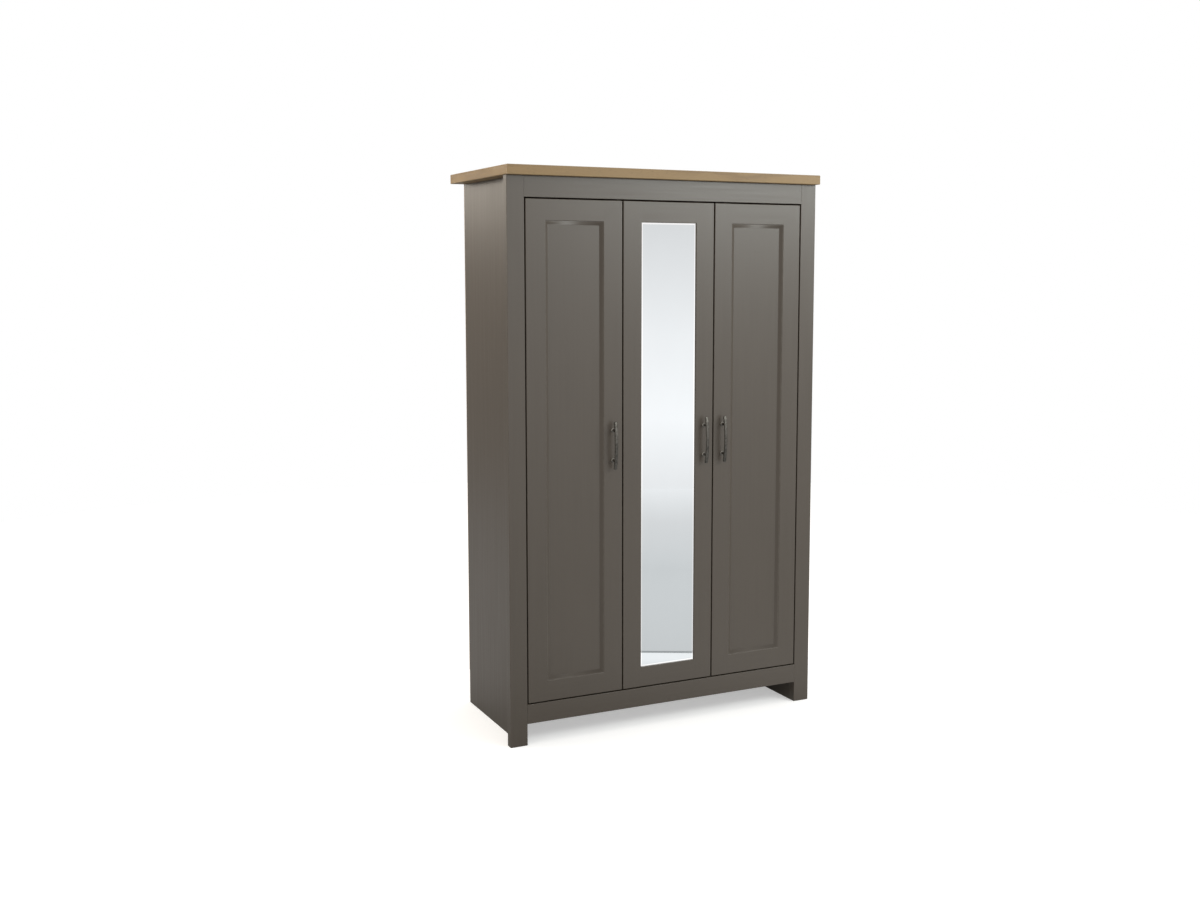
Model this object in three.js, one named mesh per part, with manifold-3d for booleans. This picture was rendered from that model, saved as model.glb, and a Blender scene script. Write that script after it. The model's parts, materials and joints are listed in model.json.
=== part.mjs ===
// Three-door wardrobe: a painted face frame and carcass under an oak top board, with
// three inset doors. The middle door carries a tall mirror.
//
// Units are millimetres, +X to the right, +Y to the back and +Z up. The origin is on
// the floor, under the middle of the overall box. The doors are modelled shut.

import * as THREE from 'three';
import { mergeVertices } from 'three/addons/utils/BufferGeometryUtils.js';
import Module from 'manifold-3d';

const wasm = await Module();
wasm.setup();

// ---- Driving dimensions -------------------------------------------------------------

const WIDTH = 1119;
const DEPTH = 520;
const HEIGHT = 1800;

const TOP_THICKNESS = 30;
const TOP_SIDE_OVERHANG = 5;
const TOP_FRONT_OVERHANG = 20;
const TOP_BACK_OVERHANG = 4;

const POST_WIDTH = 57;
const POST_DEPTH = 27;
const TOP_RAIL_HEIGHT = 65;
const BOTTOM_RAIL_HEIGHT = 62;
const FLOOR_CLEARANCE = 69;

const BOARD_THICKNESS = 16;
const BACK_THICKNESS = 3;
const SHELF_COUNT = 3;
const SHELF_SETBACK = 10;
const HAT_SHELF_HEIGHT = 1440;

const DOOR_COUNT = 3;
const DOOR_THICKNESS = 22;
const DOOR_GAP = 4;
const STILE_WIDTH = 65;
const DOOR_RAIL_HEIGHT = 66;
const PANEL_THICKNESS = 6;
const PANEL_RECESS = 8;
const MOULDING_WIDTH = 11;
const MOULDING_SETBACK = 1;
const MOULDING_LIP = 0.8;
const MIRROR_THICKNESS = 4;
const MIRROR_RECESS = 4;
const GROOVE_DEPTH = 8;
const FIT_GAP = 0.3;
const JOINT_GAP = 0.1;

const HANDLE_LENGTH = 152;
const HANDLE_CENTRES = 96;
const HANDLE_ABOVE_MIDDLE = 17;
const HANDLE_PROJECTION = 28;
const HANDLE_BOW = 8;
const HANDLE_BAR_WIDTH = 11;
const HANDLE_BAR_THICKNESS = 6;
const HANDLE_BAR_ROUNDING = 1.5;
const HANDLE_POST_RADIUS = 4.5;
const HANDLE_POST_FOOT_RADIUS = 6.5;
const HANDLE_POST_FOOT_EDGE = 1.2;
const HANDLE_POST_FOOT_HEIGHT = 4;

const HINGE_END_DISTANCE = 110;
const HINGE_MIDDLE_DROP = 60;
const HINGE_PLATE_THICKNESS = 5;
const HINGE_PLATE_LENGTH = 36;
const HINGE_PLATE_HEIGHT = 48;
const HINGE_PLATE_SETBACK = 2;
const HINGE_ARM_HEIGHT = 15;
const HINGE_ARM_OUTER = 14;
const HINGE_ARM_TAIL = 24;
const HINGE_ARM_CLEARANCE = 2.5;
const HINGE_NOSE_LENGTH = 5;
const HINGE_SHOULDER_LENGTH = 14;
const HINGE_NECK_WIDTH = 4;
const CUP_EDGE_DISTANCE = 22.5;
const CUP_RADIUS = 17.5;
const CUP_DEPTH = 12;
const CUP_RIM_WIDTH = 2.5;
const CUP_SHEET = 1.2;

const RAIL_TALL = 30;
const RAIL_WIDE = 15;
const RAIL_DROP = 55;
const RAIL_Y = 20;
const SOCKET_WALL = 3;
const SOCKET_BASE = 4;
const SOCKET_LENGTH = 14;

const FOOT_PAD_RADIUS = 20;
const FOOT_STEM_RADIUS = 9;
const FOOT_FLANGE_RADIUS = 22;
const FOOT_PAD_THICKNESS = 5;
const FOOT_PAD_SLOPE = 4;
const FOOT_FLANGE_THICKNESS = 3;
const FOOT_FRONT_Y = 0;
const FOOT_REAR_Y = 200;

const EDGE_EASE = 1;
const TOP_EDGE_EASE = 1.5;
const ROUND_SEGMENTS = 20;

// ---- Places worked out from them ----------------------------------------------------

const DOOR_FRONT = -DEPTH / 2 + HANDLE_PROJECTION;
const DOOR_BACK = DOOR_FRONT + DOOR_THICKNESS;
const FRAME_BACK = DOOR_FRONT + POST_DEPTH;
const TOP_FRONT = DOOR_FRONT - TOP_FRONT_OVERHANG;
const BODY_BACK = DEPTH / 2 - TOP_BACK_OVERHANG;
const CARCASS_BACK = BODY_BACK - BACK_THICKNESS;

const FRAME_SIDE = WIDTH / 2 - TOP_SIDE_OVERHANG;
const BAY_SIDE = FRAME_SIDE - POST_WIDTH;
const CARCASS_SIDE = BAY_SIDE + BOARD_THICKNESS;

const CARCASS_TOP = HEIGHT - TOP_THICKNESS;
const TOP_RAIL_BOTTOM = CARCASS_TOP - TOP_RAIL_HEIGHT;
const BAY_FLOOR = FLOOR_CLEARANCE + BOTTOM_RAIL_HEIGHT;
const DOOR_BOTTOM = BAY_FLOOR + DOOR_GAP;
const DOOR_HEIGHT = TOP_RAIL_BOTTOM - DOOR_GAP - DOOR_BOTTOM;
const DOOR_WIDTH = (2 * BAY_SIDE - (DOOR_COUNT + 1) * DOOR_GAP) / DOOR_COUNT;

// The partition stands behind the gap between the first two doors, to the nearest millimetre.
const PARTITION_X = Math.round(-BAY_SIDE + DOOR_GAP + DOOR_WIDTH + DOOR_GAP / 2);
const PARTITION_LEFT = PARTITION_X - BOARD_THICKNESS / 2;
const PARTITION_RIGHT = PARTITION_X + BOARD_THICKNESS / 2;

// ---- Finishes -----------------------------------------------------------------------

function finish(color, roughness, metalness = 0) {
  return new THREE.MeshStandardMaterial({ color, roughness, metalness });
}

const oak = finish(0xb08f66, 0.5);
const taupePaint = finish(0x6b635b, 0.45);
const innerBoard = finish(0x7a7268, 0.6);
const hardboard = finish(0x8a6f52, 0.8);
const mirrorGlass = finish(0xe6eaec, 0.03, 1);
const pewter = finish(0x55524d, 0.35, 0.9);
const hingeSteel = finish(0xb4b6b8, 0.3, 1);
const chrome = finish(0xc8cacc, 0.15, 1);
const blackPlastic = finish(0x1c1c1c, 0.6);

// ---- Small geometry tools -----------------------------------------------------------

/** A plain board between two opposite corners. */
function board(from, to) {
  const size = to.map((value, axis) => value - from[axis]);
  const geometry = new THREE.BoxGeometry(...size);
  geometry.translate(...from.map((value, axis) => value + size[axis] / 2));
  return geometry;
}

/** A closed outline through points in order. */
function outlineThrough(points) {
  return new THREE.Shape(points.map(([x, y]) => new THREE.Vector2(x, y)));
}

/** A board between two opposite corners whose twelve edges are chamfered. */
function easedBoard(from, to, ease = EDGE_EASE) {
  const [width, depth, height] = to.map((value, axis) => value - from[axis]);
  const outline = outlineThrough([
    [ease, 0], [width - ease, 0], [width, ease], [width, depth - ease],
    [width - ease, depth], [ease, depth], [0, depth - ease], [0, ease],
  ]);
  const geometry = new THREE.ExtrudeGeometry(outline, {
    depth: height - 2 * ease,
    bevelThickness: ease,
    bevelSize: ease,
    bevelOffset: -ease,
    bevelSegments: 1,
  });
  geometry.translate(from[0], from[1], from[2] + ease);
  return geometry;
}

/** A straight bar of one outline, extruded along +Z from zero. */
function bar(outline, length, curveSegments = 6) {
  return new THREE.ExtrudeGeometry(outline, { depth: length, bevelEnabled: false, curveSegments });
}

/** An outline with two straight sides and two round ends, `length` along x. */
function stadium(length, width) {
  const radius = width / 2;
  const centre = length / 2 - radius;
  const outline = new THREE.Shape();
  outline.absarc(centre, 0, radius, -Math.PI / 2, Math.PI / 2, false);
  outline.absarc(-centre, 0, radius, Math.PI / 2, (3 * Math.PI) / 2, false);
  return outline;
}

/** A turned piece round the Z axis, from [radius, height] pairs that start and end on the axis. */
function turned(profile, segments = ROUND_SEGMENTS) {
  const points = profile.map(([radius, height]) => new THREE.Vector2(radius, height));
  return new THREE.LatheGeometry(points, segments).rotateX(Math.PI / 2);
}

/** A closed geometry as a solid for boolean work. */
function solid(geometry) {
  const bare = geometry.clone();
  bare.deleteAttribute('normal');
  bare.deleteAttribute('uv');
  const merged = mergeVertices(bare);
  return new wasm.Manifold(new wasm.Mesh({
    numProp: 3,
    vertProperties: new Float32Array(merged.attributes.position.array),
    triVerts: new Uint32Array(merged.index.array),
  }));
}

/** A boolean result as a geometry again. */
function surface(manifold) {
  const mesh = manifold.getMesh();
  const geometry = new THREE.BufferGeometry();
  geometry.setAttribute('position', new THREE.BufferAttribute(mesh.vertProperties, 3));
  geometry.setIndex(new THREE.BufferAttribute(mesh.triVerts, 1));
  geometry.computeVertexNormals();
  return geometry;
}

function piece(name, geometry, material) {
  const mesh = new THREE.Mesh(geometry, material);
  mesh.name = name;
  return mesh;
}

// ---- Face frame and top board -------------------------------------------------------

function topBoard() {
  const from = [-WIDTH / 2, TOP_FRONT, CARCASS_TOP];
  const to = [WIDTH / 2, DEPTH / 2, HEIGHT];
  return piece('top_board', easedBoard(from, to, TOP_EDGE_EASE), oak);
}

/** Front posts stand on the floor and stick out past the side panels behind them. */
function frontPost(side, direction) {
  const [left, right] = [direction * FRAME_SIDE, direction * BAY_SIDE].sort((a, b) => a - b);
  const geometry = easedBoard([left, DOOR_FRONT, 0], [right, FRAME_BACK, CARCASS_TOP]);
  return piece(`front_post_${side}`, geometry, taupePaint);
}

function faceRail(name, bottom, top) {
  const geometry = easedBoard([-BAY_SIDE, DOOR_FRONT, bottom], [BAY_SIDE, FRAME_BACK, top]);
  return piece(name, geometry, taupePaint);
}

function faceFrame() {
  return [
    frontPost('left', -1),
    frontPost('right', 1),
    faceRail('top_rail', TOP_RAIL_BOTTOM, CARCASS_TOP),
    faceRail('bottom_rail', FLOOR_CLEARANCE, BAY_FLOOR),
  ];
}

// ---- Carcass ------------------------------------------------------------------------

/** Side panels run down to the floor, with their inner faces in line with the posts'. */
function sidePanel(side, direction) {
  const [left, right] = [direction * CARCASS_SIDE, direction * BAY_SIDE].sort((a, b) => a - b);
  const geometry = board([left, FRAME_BACK, 0], [right, CARCASS_BACK, CARCASS_TOP]);
  return piece(`side_panel_${side}`, geometry, taupePaint);
}

function backPanel(side, left, right) {
  const bottom = BAY_FLOOR - BOARD_THICKNESS;
  const geometry = board([left, CARCASS_BACK, bottom], [right, BODY_BACK, CARCASS_TOP]);
  return piece(`back_panel_${side}`, geometry, hardboard);
}

function carcass() {
  const floorFrom = [-BAY_SIDE, FRAME_BACK, BAY_FLOOR - BOARD_THICKNESS];
  const floorTo = [BAY_SIDE, CARCASS_BACK, BAY_FLOOR];
  const partitionFrom = [PARTITION_LEFT, FRAME_BACK, BAY_FLOOR];
  const partitionTo = [PARTITION_RIGHT, CARCASS_BACK, CARCASS_TOP];
  return [
    sidePanel('left', -1),
    sidePanel('right', 1),
    piece('bottom_panel', board(floorFrom, floorTo), innerBoard),
    piece('partition', board(partitionFrom, partitionTo), innerBoard),
    backPanel('left', -CARCASS_SIDE, PARTITION_X),
    backPanel('right', PARTITION_X, CARCASS_SIDE),
  ];
}

/** Adjustable feet under the long floor panel, below the partition. */
function centreFoot(name, y) {
  const height = BAY_FLOOR - BOARD_THICKNESS;
  const flangeBottom = height - FOOT_FLANGE_THICKNESS;
  const profile = [
    [0, 0], [FOOT_PAD_RADIUS, 0], [FOOT_PAD_RADIUS, FOOT_PAD_THICKNESS],
    [FOOT_STEM_RADIUS, FOOT_PAD_THICKNESS + FOOT_PAD_SLOPE],
    [FOOT_STEM_RADIUS, flangeBottom - FOOT_FLANGE_THICKNESS],
    [FOOT_FLANGE_RADIUS, flangeBottom], [FOOT_FLANGE_RADIUS, height], [0, height],
  ];
  const geometry = turned(profile);
  geometry.translate(PARTITION_X, y, 0);
  return piece(name, geometry, blackPlastic);
}

// ---- Shelves and hanging rail -------------------------------------------------------

function shelf(name, left, right, bottom) {
  const front = FRAME_BACK + SHELF_SETBACK;
  const geometry = board([left, front, bottom], [right, CARCASS_BACK, bottom + BOARD_THICKNESS]);
  return piece(name, geometry, innerBoard);
}

/** The left bay is split into equal compartments by its shelves. */
function leftBayShelves() {
  const bayHeight = CARCASS_TOP - BAY_FLOOR;
  const clearHeight = (bayHeight - SHELF_COUNT * BOARD_THICKNESS) / (SHELF_COUNT + 1);
  const levels = Array.from({ length: SHELF_COUNT }, (_, index) => index + 1);
  return levels.map((level) => {
    const bottom = BAY_FLOOR + level * clearHeight + (level - 1) * BOARD_THICKNESS;
    return shelf(`shelf_${level}`, -BAY_SIDE, PARTITION_LEFT, bottom);
  });
}

/** An oval socket that holds one end of the hanging rail against an upright panel. */
function railSocket(side, face, direction) {
  const outer = stadium(RAIL_TALL + 2 * SOCKET_WALL, RAIL_WIDE + 2 * SOCKET_WALL);
  const inner = stadium(RAIL_TALL + 2 * FIT_GAP, RAIL_WIDE + 2 * FIT_GAP);
  const bore = bar(inner, SOCKET_LENGTH).translate(0, 0, SOCKET_BASE);
  const geometry = surface(solid(bar(outer, SOCKET_LENGTH)).subtract(solid(bore)));
  geometry.rotateY((direction * Math.PI) / 2);
  geometry.translate(face, RAIL_Y, HAT_SHELF_HEIGHT - RAIL_DROP);
  return piece(`rail_socket_${side}`, geometry, chrome);
}

function hangingRail() {
  const start = PARTITION_RIGHT + SOCKET_BASE + FIT_GAP;
  const length = BAY_SIDE - SOCKET_BASE - FIT_GAP - start;
  const geometry = bar(stadium(RAIL_TALL, RAIL_WIDE), length);
  geometry.rotateY(Math.PI / 2);
  geometry.translate(start, RAIL_Y, HAT_SHELF_HEIGHT - RAIL_DROP);
  return piece('hanging_rail', geometry, chrome);
}

function fittings() {
  return [
    ...leftBayShelves(),
    shelf('hat_shelf', PARTITION_RIGHT, BAY_SIDE, HAT_SHELF_HEIGHT),
    hangingRail(),
    railSocket('left', PARTITION_RIGHT, 1),
    railSocket('right', BAY_SIDE, -1),
  ];
}

// ---- Handles ------------------------------------------------------------------------

/** A slim bar along local Z, bowed away from the door. Its front touches the XZ plane. */
function handleBar() {
  const half = HANDLE_LENGTH / 2;
  const radius = (half ** 2 + HANDLE_BOW ** 2) / (2 * HANDLE_BOW);
  const endRadius = HANDLE_BAR_THICKNESS / 2;
  const middle = radius - endRadius;
  const sweep = Math.asin((half - endRadius) / middle);
  const endX = middle * Math.cos(sweep);
  const endY = middle * Math.sin(sweep);
  const side = new THREE.Shape();
  side.absarc(0, 0, radius, -sweep, sweep, false);
  side.absarc(endX, endY, endRadius, sweep, sweep + Math.PI, false);
  side.absarc(0, 0, radius - HANDLE_BAR_THICKNESS, sweep, -sweep, true);
  side.absarc(endX, -endY, endRadius, Math.PI - sweep, 2 * Math.PI - sweep, false);
  const geometry = new THREE.ExtrudeGeometry(side, {
    depth: HANDLE_BAR_WIDTH - 2 * HANDLE_BAR_ROUNDING,
    bevelThickness: HANDLE_BAR_ROUNDING,
    bevelSize: HANDLE_BAR_ROUNDING,
    bevelOffset: -HANDLE_BAR_ROUNDING,
    bevelSegments: 2,
    curveSegments: 8,
  });
  geometry.translate(-radius, 0, HANDLE_BAR_ROUNDING - HANDLE_BAR_WIDTH / 2);
  // The outline's x runs away from the door, to -Y, and its y runs along the handle.
  return geometry.rotateZ(-Math.PI / 2).rotateY(-Math.PI / 2);
}

/** A turned post that stands on the door's face and ends inside the bar. */
function handlePost() {
  const height = HANDLE_PROJECTION - HANDLE_BAR_THICKNESS;
  const profile = [
    [0, 0], [HANDLE_POST_FOOT_RADIUS, 0], [HANDLE_POST_FOOT_RADIUS, HANDLE_POST_FOOT_EDGE],
    [HANDLE_POST_RADIUS, HANDLE_POST_FOOT_HEIGHT], [HANDLE_POST_RADIUS, height], [0, height],
  ];
  return turned(profile, 16).rotateX(Math.PI / 2);
}

/** One casting: the bar and its two posts. Its origin is on the door's face, at mid-length. */
function handle(name) {
  const barSolid = solid(handleBar().translate(0, -HANDLE_PROJECTION, 0));
  const posts = [-1, 1].map((end) => solid(handlePost().translate(0, 0, (end * HANDLE_CENTRES) / 2)));
  return piece(name, surface(posts.reduce((joined, post) => joined.add(post), barSolid)), pewter);
}

// ---- Hinges -------------------------------------------------------------------------

/** Heights above the door's bottom edge. */
function hingeHeights() {
  return [HINGE_END_DISTANCE, DOOR_HEIGHT / 2 - HINGE_MIDDLE_DROP, DOOR_HEIGHT - HINGE_END_DISTANCE];
}

/** A pressed cup with a rim, let into the back of a door stile. It is open to the back. */
function hingeCup(name) {
  const inner = CUP_RADIUS - CUP_SHEET;
  const rim = CUP_RADIUS + CUP_RIM_WIDTH;
  const profile = [
    [0, -CUP_DEPTH], [CUP_RADIUS, -CUP_DEPTH], [CUP_RADIUS, 0], [rim, 0],
    [rim, CUP_SHEET], [inner, CUP_SHEET], [inner, CUP_SHEET - CUP_DEPTH], [0, CUP_SHEET - CUP_DEPTH],
  ];
  const geometry = turned(profile).rotateX(-Math.PI / 2);
  return piece(name, geometry, hingeSteel);
}

/**
 * A mounting plate and arm on an upright panel. `face` is the panel's face, `direction`
 * points from it into the bay, and `reach` is the distance to the middle of the cup.
 */
function hingeArm(name, face, direction, reach, height) {
  const plateFront = FRAME_BACK + HINGE_PLATE_SETBACK;
  const plateBack = plateFront + HINGE_PLATE_LENGTH;
  const armFront = DOOR_BACK + HINGE_ARM_CLEARANCE;
  const armBack = plateBack + HINGE_ARM_TAIL;
  const armInner = HINGE_PLATE_THICKNESS - 1;
  const armOutside = armInner + HINGE_NECK_WIDTH;
  const nose = reach + HINGE_NOSE_LENGTH;

  // Seen from above: x is the distance from the panel's face.
  const upright = (points, tall) => {
    const outline = outlineThrough(points.map(([x, y]) => [face + direction * x, y]));
    return solid(bar(outline, tall).translate(0, 0, height - tall / 2));
  };
  const plate = upright([
    [0, plateFront], [HINGE_PLATE_THICKNESS, plateFront],
    [HINGE_PLATE_THICKNESS, plateBack], [0, plateBack],
  ], HINGE_PLATE_HEIGHT);
  const arm = upright([
    [armInner, armBack], [armInner, plateFront + HINGE_NECK_WIDTH], [armOutside, armFront],
    [nose, armFront], [nose, armFront + HINGE_NOSE_LENGTH],
    [HINGE_ARM_OUTER, armFront + HINGE_SHOULDER_LENGTH], [HINGE_ARM_OUTER, armBack],
  ], HINGE_ARM_HEIGHT);
  return piece(name, surface(plate.add(arm)), hingeSteel);
}

// ---- Doors --------------------------------------------------------------------------

/**
 * The section of a door's stile or rail: x from its outer edge to its inner edge, y from
 * the front to the back, with a groove in the inner edge and eased corners.
 */
function frameSection(width, grooveFront, grooveBack) {
  return outlineThrough([
    [EDGE_EASE, 0], [width - EDGE_EASE, 0], [width, EDGE_EASE],
    [width, grooveFront], [width - GROOVE_DEPTH, grooveFront],
    [width - GROOVE_DEPTH, grooveBack], [width, grooveBack],
    [width, DOOR_THICKNESS], [EDGE_EASE, DOOR_THICKNESS], [0, DOOR_THICKNESS - EDGE_EASE],
    [0, EDGE_EASE],
  ]);
}

/** The same section seen from its other end, for the piece on the opposite edge. */
function mirrored(outline, width) {
  return outlineThrough(outline.getPoints().map(({ x, y }) => [width - x, y]));
}

/** Takes the hinge-cup bores out of a stile. `cupX` is the middle of the cups across the door. */
function boredStile(geometry, cupX) {
  const boreRadius = CUP_RADIUS + FIT_GAP;
  const boreDepth = CUP_DEPTH + FIT_GAP;
  const bores = hingeHeights().map((height) => {
    const bore = turned([[0, -boreDepth], [boreRadius, -boreDepth], [boreRadius, 1], [0, 1]]);
    return solid(bore.rotateX(-Math.PI / 2).translate(cupX, DOOR_THICKNESS, height));
  });
  return surface(bores.reduce((stile, bore) => stile.subtract(bore), solid(geometry)));
}

/** The four framing pieces of one door, in door coordinates. */
function doorFrame(name, section, railSection, cupX) {
  const farX = DOOR_WIDTH - STILE_WIDTH;
  const stiles = {
    left: bar(section, DOOR_HEIGHT),
    right: bar(mirrored(section, STILE_WIDTH), DOOR_HEIGHT).translate(farX, 0, 0),
  };
  const hingeSide = cupX < DOOR_WIDTH / 2 ? 'left' : 'right';
  stiles[hingeSide] = boredStile(stiles[hingeSide], cupX);

  // A rail's section lies in the YZ plane: its x becomes height and it runs along +X.
  const railLength = DOOR_WIDTH - 2 * (STILE_WIDTH + JOINT_GAP);
  const lay = (outline, bottom) => {
    const geometry = bar(outline, railLength).rotateY(Math.PI / 2).rotateX(Math.PI);
    return geometry.translate(STILE_WIDTH + JOINT_GAP, DOOR_THICKNESS, bottom);
  };
  const flipped = (outline) => outlineThrough(
    outline.getPoints().map(({ x, y }) => [x, DOOR_THICKNESS - y]),
  );
  const topSection = flipped(mirrored(railSection, DOOR_RAIL_HEIGHT));
  const bottomSection = flipped(railSection);
  return [
    piece(`${name}_stile_left`, stiles.left, taupePaint),
    piece(`${name}_stile_right`, stiles.right, taupePaint),
    piece(`${name}_rail_top`, lay(topSection, DOOR_HEIGHT - DOOR_RAIL_HEIGHT), taupePaint),
    piece(`${name}_rail_bottom`, lay(bottomSection, 0), taupePaint),
  ];
}

/** A sheet held in the door's groove, `front` behind the door's face. */
function heldSheet(name, front, thickness, material) {
  const reach = GROOVE_DEPTH - FIT_GAP;
  const from = [STILE_WIDTH - reach, front, DOOR_RAIL_HEIGHT - reach];
  const to = [DOOR_WIDTH - from[0], front + thickness, DOOR_HEIGHT - from[2]];
  return piece(name, board(from, to), material);
}

/** A mitred moulding that slopes from the frame's inner edge down to the panel. */
function panelMoulding(name) {
  const from = [STILE_WIDTH + FIT_GAP, MOULDING_SETBACK, DOOR_RAIL_HEIGHT + FIT_GAP];
  const to = [DOOR_WIDTH - from[0], PANEL_RECESS - FIT_GAP, DOOR_HEIGHT - from[2]];
  const [left, , bottom] = from.map((value) => value + MOULDING_WIDTH);
  const [right, , top] = to.map((value) => value - MOULDING_WIDTH);
  const opening = outlineThrough([[left, bottom], [right, bottom], [right, top], [left, top]]);
  const slope = new THREE.ExtrudeGeometry(opening, {
    depth: 2 * PANEL_RECESS,
    bevelThickness: to[1] - from[1],
    bevelSize: MOULDING_WIDTH - MOULDING_LIP,
    bevelSegments: 1,
  });
  // The outline's y becomes height, and the slope ends at the panel's face.
  slope.rotateX(Math.PI / 2).translate(0, from[1], 0);
  return piece(name, surface(solid(board(from, to)).subtract(solid(slope))), taupePaint);
}

/** What fills each kind of door, and where its groove starts and ends. */
function panelFilling(name) {
  return {
    grooveFront: PANEL_RECESS - FIT_GAP,
    grooveBack: PANEL_RECESS + PANEL_THICKNESS + FIT_GAP,
    sheets: [
      heldSheet(`${name}_panel`, PANEL_RECESS, PANEL_THICKNESS, taupePaint),
      panelMoulding(`${name}_moulding`),
    ],
  };
}

function mirrorFilling(name) {
  const backingFront = MIRROR_RECESS + MIRROR_THICKNESS + FIT_GAP;
  return {
    grooveFront: MIRROR_RECESS - FIT_GAP,
    grooveBack: backingFront + PANEL_THICKNESS + FIT_GAP,
    sheets: [
      heldSheet('mirror', MIRROR_RECESS, MIRROR_THICKNESS, mirrorGlass),
      heldSheet(`${name}_backing`, backingFront, PANEL_THICKNESS, innerBoard),
    ],
  };
}

/** One door with its handle and hinge cups, its origin at its lower left front corner. */
function door({ name, index, hingeSide, filling }) {
  const { grooveFront, grooveBack, sheets } = filling(name);
  const hingedLeft = hingeSide === 'left';
  const cupX = hingedLeft ? CUP_EDGE_DISTANCE : DOOR_WIDTH - CUP_EDGE_DISTANCE;
  const handleX = hingedLeft ? DOOR_WIDTH - STILE_WIDTH / 2 : STILE_WIDTH / 2;

  const group = new THREE.Group();
  group.position.set(-BAY_SIDE + DOOR_GAP + index * (DOOR_WIDTH + DOOR_GAP), DOOR_FRONT, DOOR_BOTTOM);
  group.add(...doorFrame(
    name,
    frameSection(STILE_WIDTH, grooveFront, grooveBack),
    frameSection(DOOR_RAIL_HEIGHT, grooveFront, grooveBack),
    cupX,
  ));
  group.add(...sheets);

  const pull = handle(`${name}_handle`);
  pull.position.set(handleX, 0, DOOR_HEIGHT / 2 + HANDLE_ABOVE_MIDDLE);
  group.add(pull);

  hingeHeights().forEach((height, number) => {
    const cup = hingeCup(`${name}_hinge_cup_${number + 1}`);
    cup.position.set(cupX, DOOR_THICKNESS, height);
    group.add(cup);
  });
  return group;
}

/** The hinge arms of one door, fixed to the upright that it hangs on. */
function doorHingeArms({ name, index, hingeSide, upright }) {
  const doorLeft = -BAY_SIDE + DOOR_GAP + index * (DOOR_WIDTH + DOOR_GAP);
  const hingedLeft = hingeSide === 'left';
  const cup = hingedLeft ? doorLeft + CUP_EDGE_DISTANCE : doorLeft + DOOR_WIDTH - CUP_EDGE_DISTANCE;
  const direction = hingedLeft ? 1 : -1;
  return hingeHeights().map((height, number) => hingeArm(
    `${name}_hinge_arm_${number + 1}`,
    upright,
    direction,
    Math.abs(cup - upright),
    DOOR_BOTTOM + height,
  ));
}

// `upright` is the face that the door's hinges are screwed to.
const DOORS = [
  { name: 'left_door', index: 0, hingeSide: 'left', upright: -BAY_SIDE, filling: panelFilling },
  { name: 'middle_door', index: 1, hingeSide: 'left', upright: PARTITION_RIGHT, filling: mirrorFilling },
  { name: 'right_door', index: 2, hingeSide: 'right', upright: BAY_SIDE, filling: panelFilling },
];

// ---- The wardrobe -------------------------------------------------------------------

const wardrobe = new THREE.Group();
wardrobe.name = 'wardrobe';
wardrobe.add(topBoard());
wardrobe.add(...faceFrame());
wardrobe.add(...carcass());
wardrobe.add(centreFoot('centre_foot_front', FOOT_FRONT_Y));
wardrobe.add(centreFoot('centre_foot_rear', FOOT_REAR_Y));
wardrobe.add(...fittings());
DOORS.forEach((design) => {
  wardrobe.add(door(design));
  wardrobe.add(...doorHingeArms(design));
});

export default wardrobe;
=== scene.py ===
import json
import math
import random

import bmesh
import bpy
from mathutils import Matrix, Vector
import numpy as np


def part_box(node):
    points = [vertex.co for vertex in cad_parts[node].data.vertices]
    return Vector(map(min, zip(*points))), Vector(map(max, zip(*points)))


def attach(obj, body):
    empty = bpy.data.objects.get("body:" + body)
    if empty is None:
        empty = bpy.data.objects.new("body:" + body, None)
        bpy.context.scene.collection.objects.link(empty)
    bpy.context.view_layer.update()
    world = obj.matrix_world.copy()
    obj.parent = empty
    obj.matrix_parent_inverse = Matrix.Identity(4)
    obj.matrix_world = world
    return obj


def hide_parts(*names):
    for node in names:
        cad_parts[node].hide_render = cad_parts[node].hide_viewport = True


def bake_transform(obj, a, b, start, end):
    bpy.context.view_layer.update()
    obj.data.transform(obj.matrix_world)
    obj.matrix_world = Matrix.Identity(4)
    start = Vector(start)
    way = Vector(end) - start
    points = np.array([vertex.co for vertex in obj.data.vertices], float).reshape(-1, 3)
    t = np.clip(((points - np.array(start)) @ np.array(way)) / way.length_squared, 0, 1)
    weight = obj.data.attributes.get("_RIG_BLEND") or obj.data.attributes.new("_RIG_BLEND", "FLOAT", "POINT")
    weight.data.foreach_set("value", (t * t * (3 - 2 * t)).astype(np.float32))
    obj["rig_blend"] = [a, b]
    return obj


# The looks of a three-door wardrobe. Units are metres, +X right, +Y back and +Z up.

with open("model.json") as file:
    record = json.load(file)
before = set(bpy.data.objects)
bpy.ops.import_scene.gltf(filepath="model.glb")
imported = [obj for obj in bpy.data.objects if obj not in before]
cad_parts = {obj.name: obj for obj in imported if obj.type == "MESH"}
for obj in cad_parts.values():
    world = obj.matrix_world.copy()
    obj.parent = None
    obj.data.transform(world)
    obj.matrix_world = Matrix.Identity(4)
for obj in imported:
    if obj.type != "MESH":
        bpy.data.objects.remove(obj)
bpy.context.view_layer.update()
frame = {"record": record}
RECORD = frame["record"]

MM = 0.001
AXES = {"x": Vector((1, 0, 0)), "y": Vector((0, 1, 0)), "z": Vector((0, 0, 1))}

# Turns that take +Z to the front, the back and the right
TO_FRONT = Matrix.Rotation(math.radians(90), 3, "X")
TO_BACK = Matrix.Rotation(math.radians(-90), 3, "X")
TO_RIGHT = Matrix.Rotation(math.radians(90), 3, "Y")

# Rounding of edges
TOP_BOARD_EDGE = 2.2 * MM
FACE_FRAME_EDGE = 1.3 * MM
DOOR_EDGE = 2 * MM
SHEET_EDGE = 0.4 * MM

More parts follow.
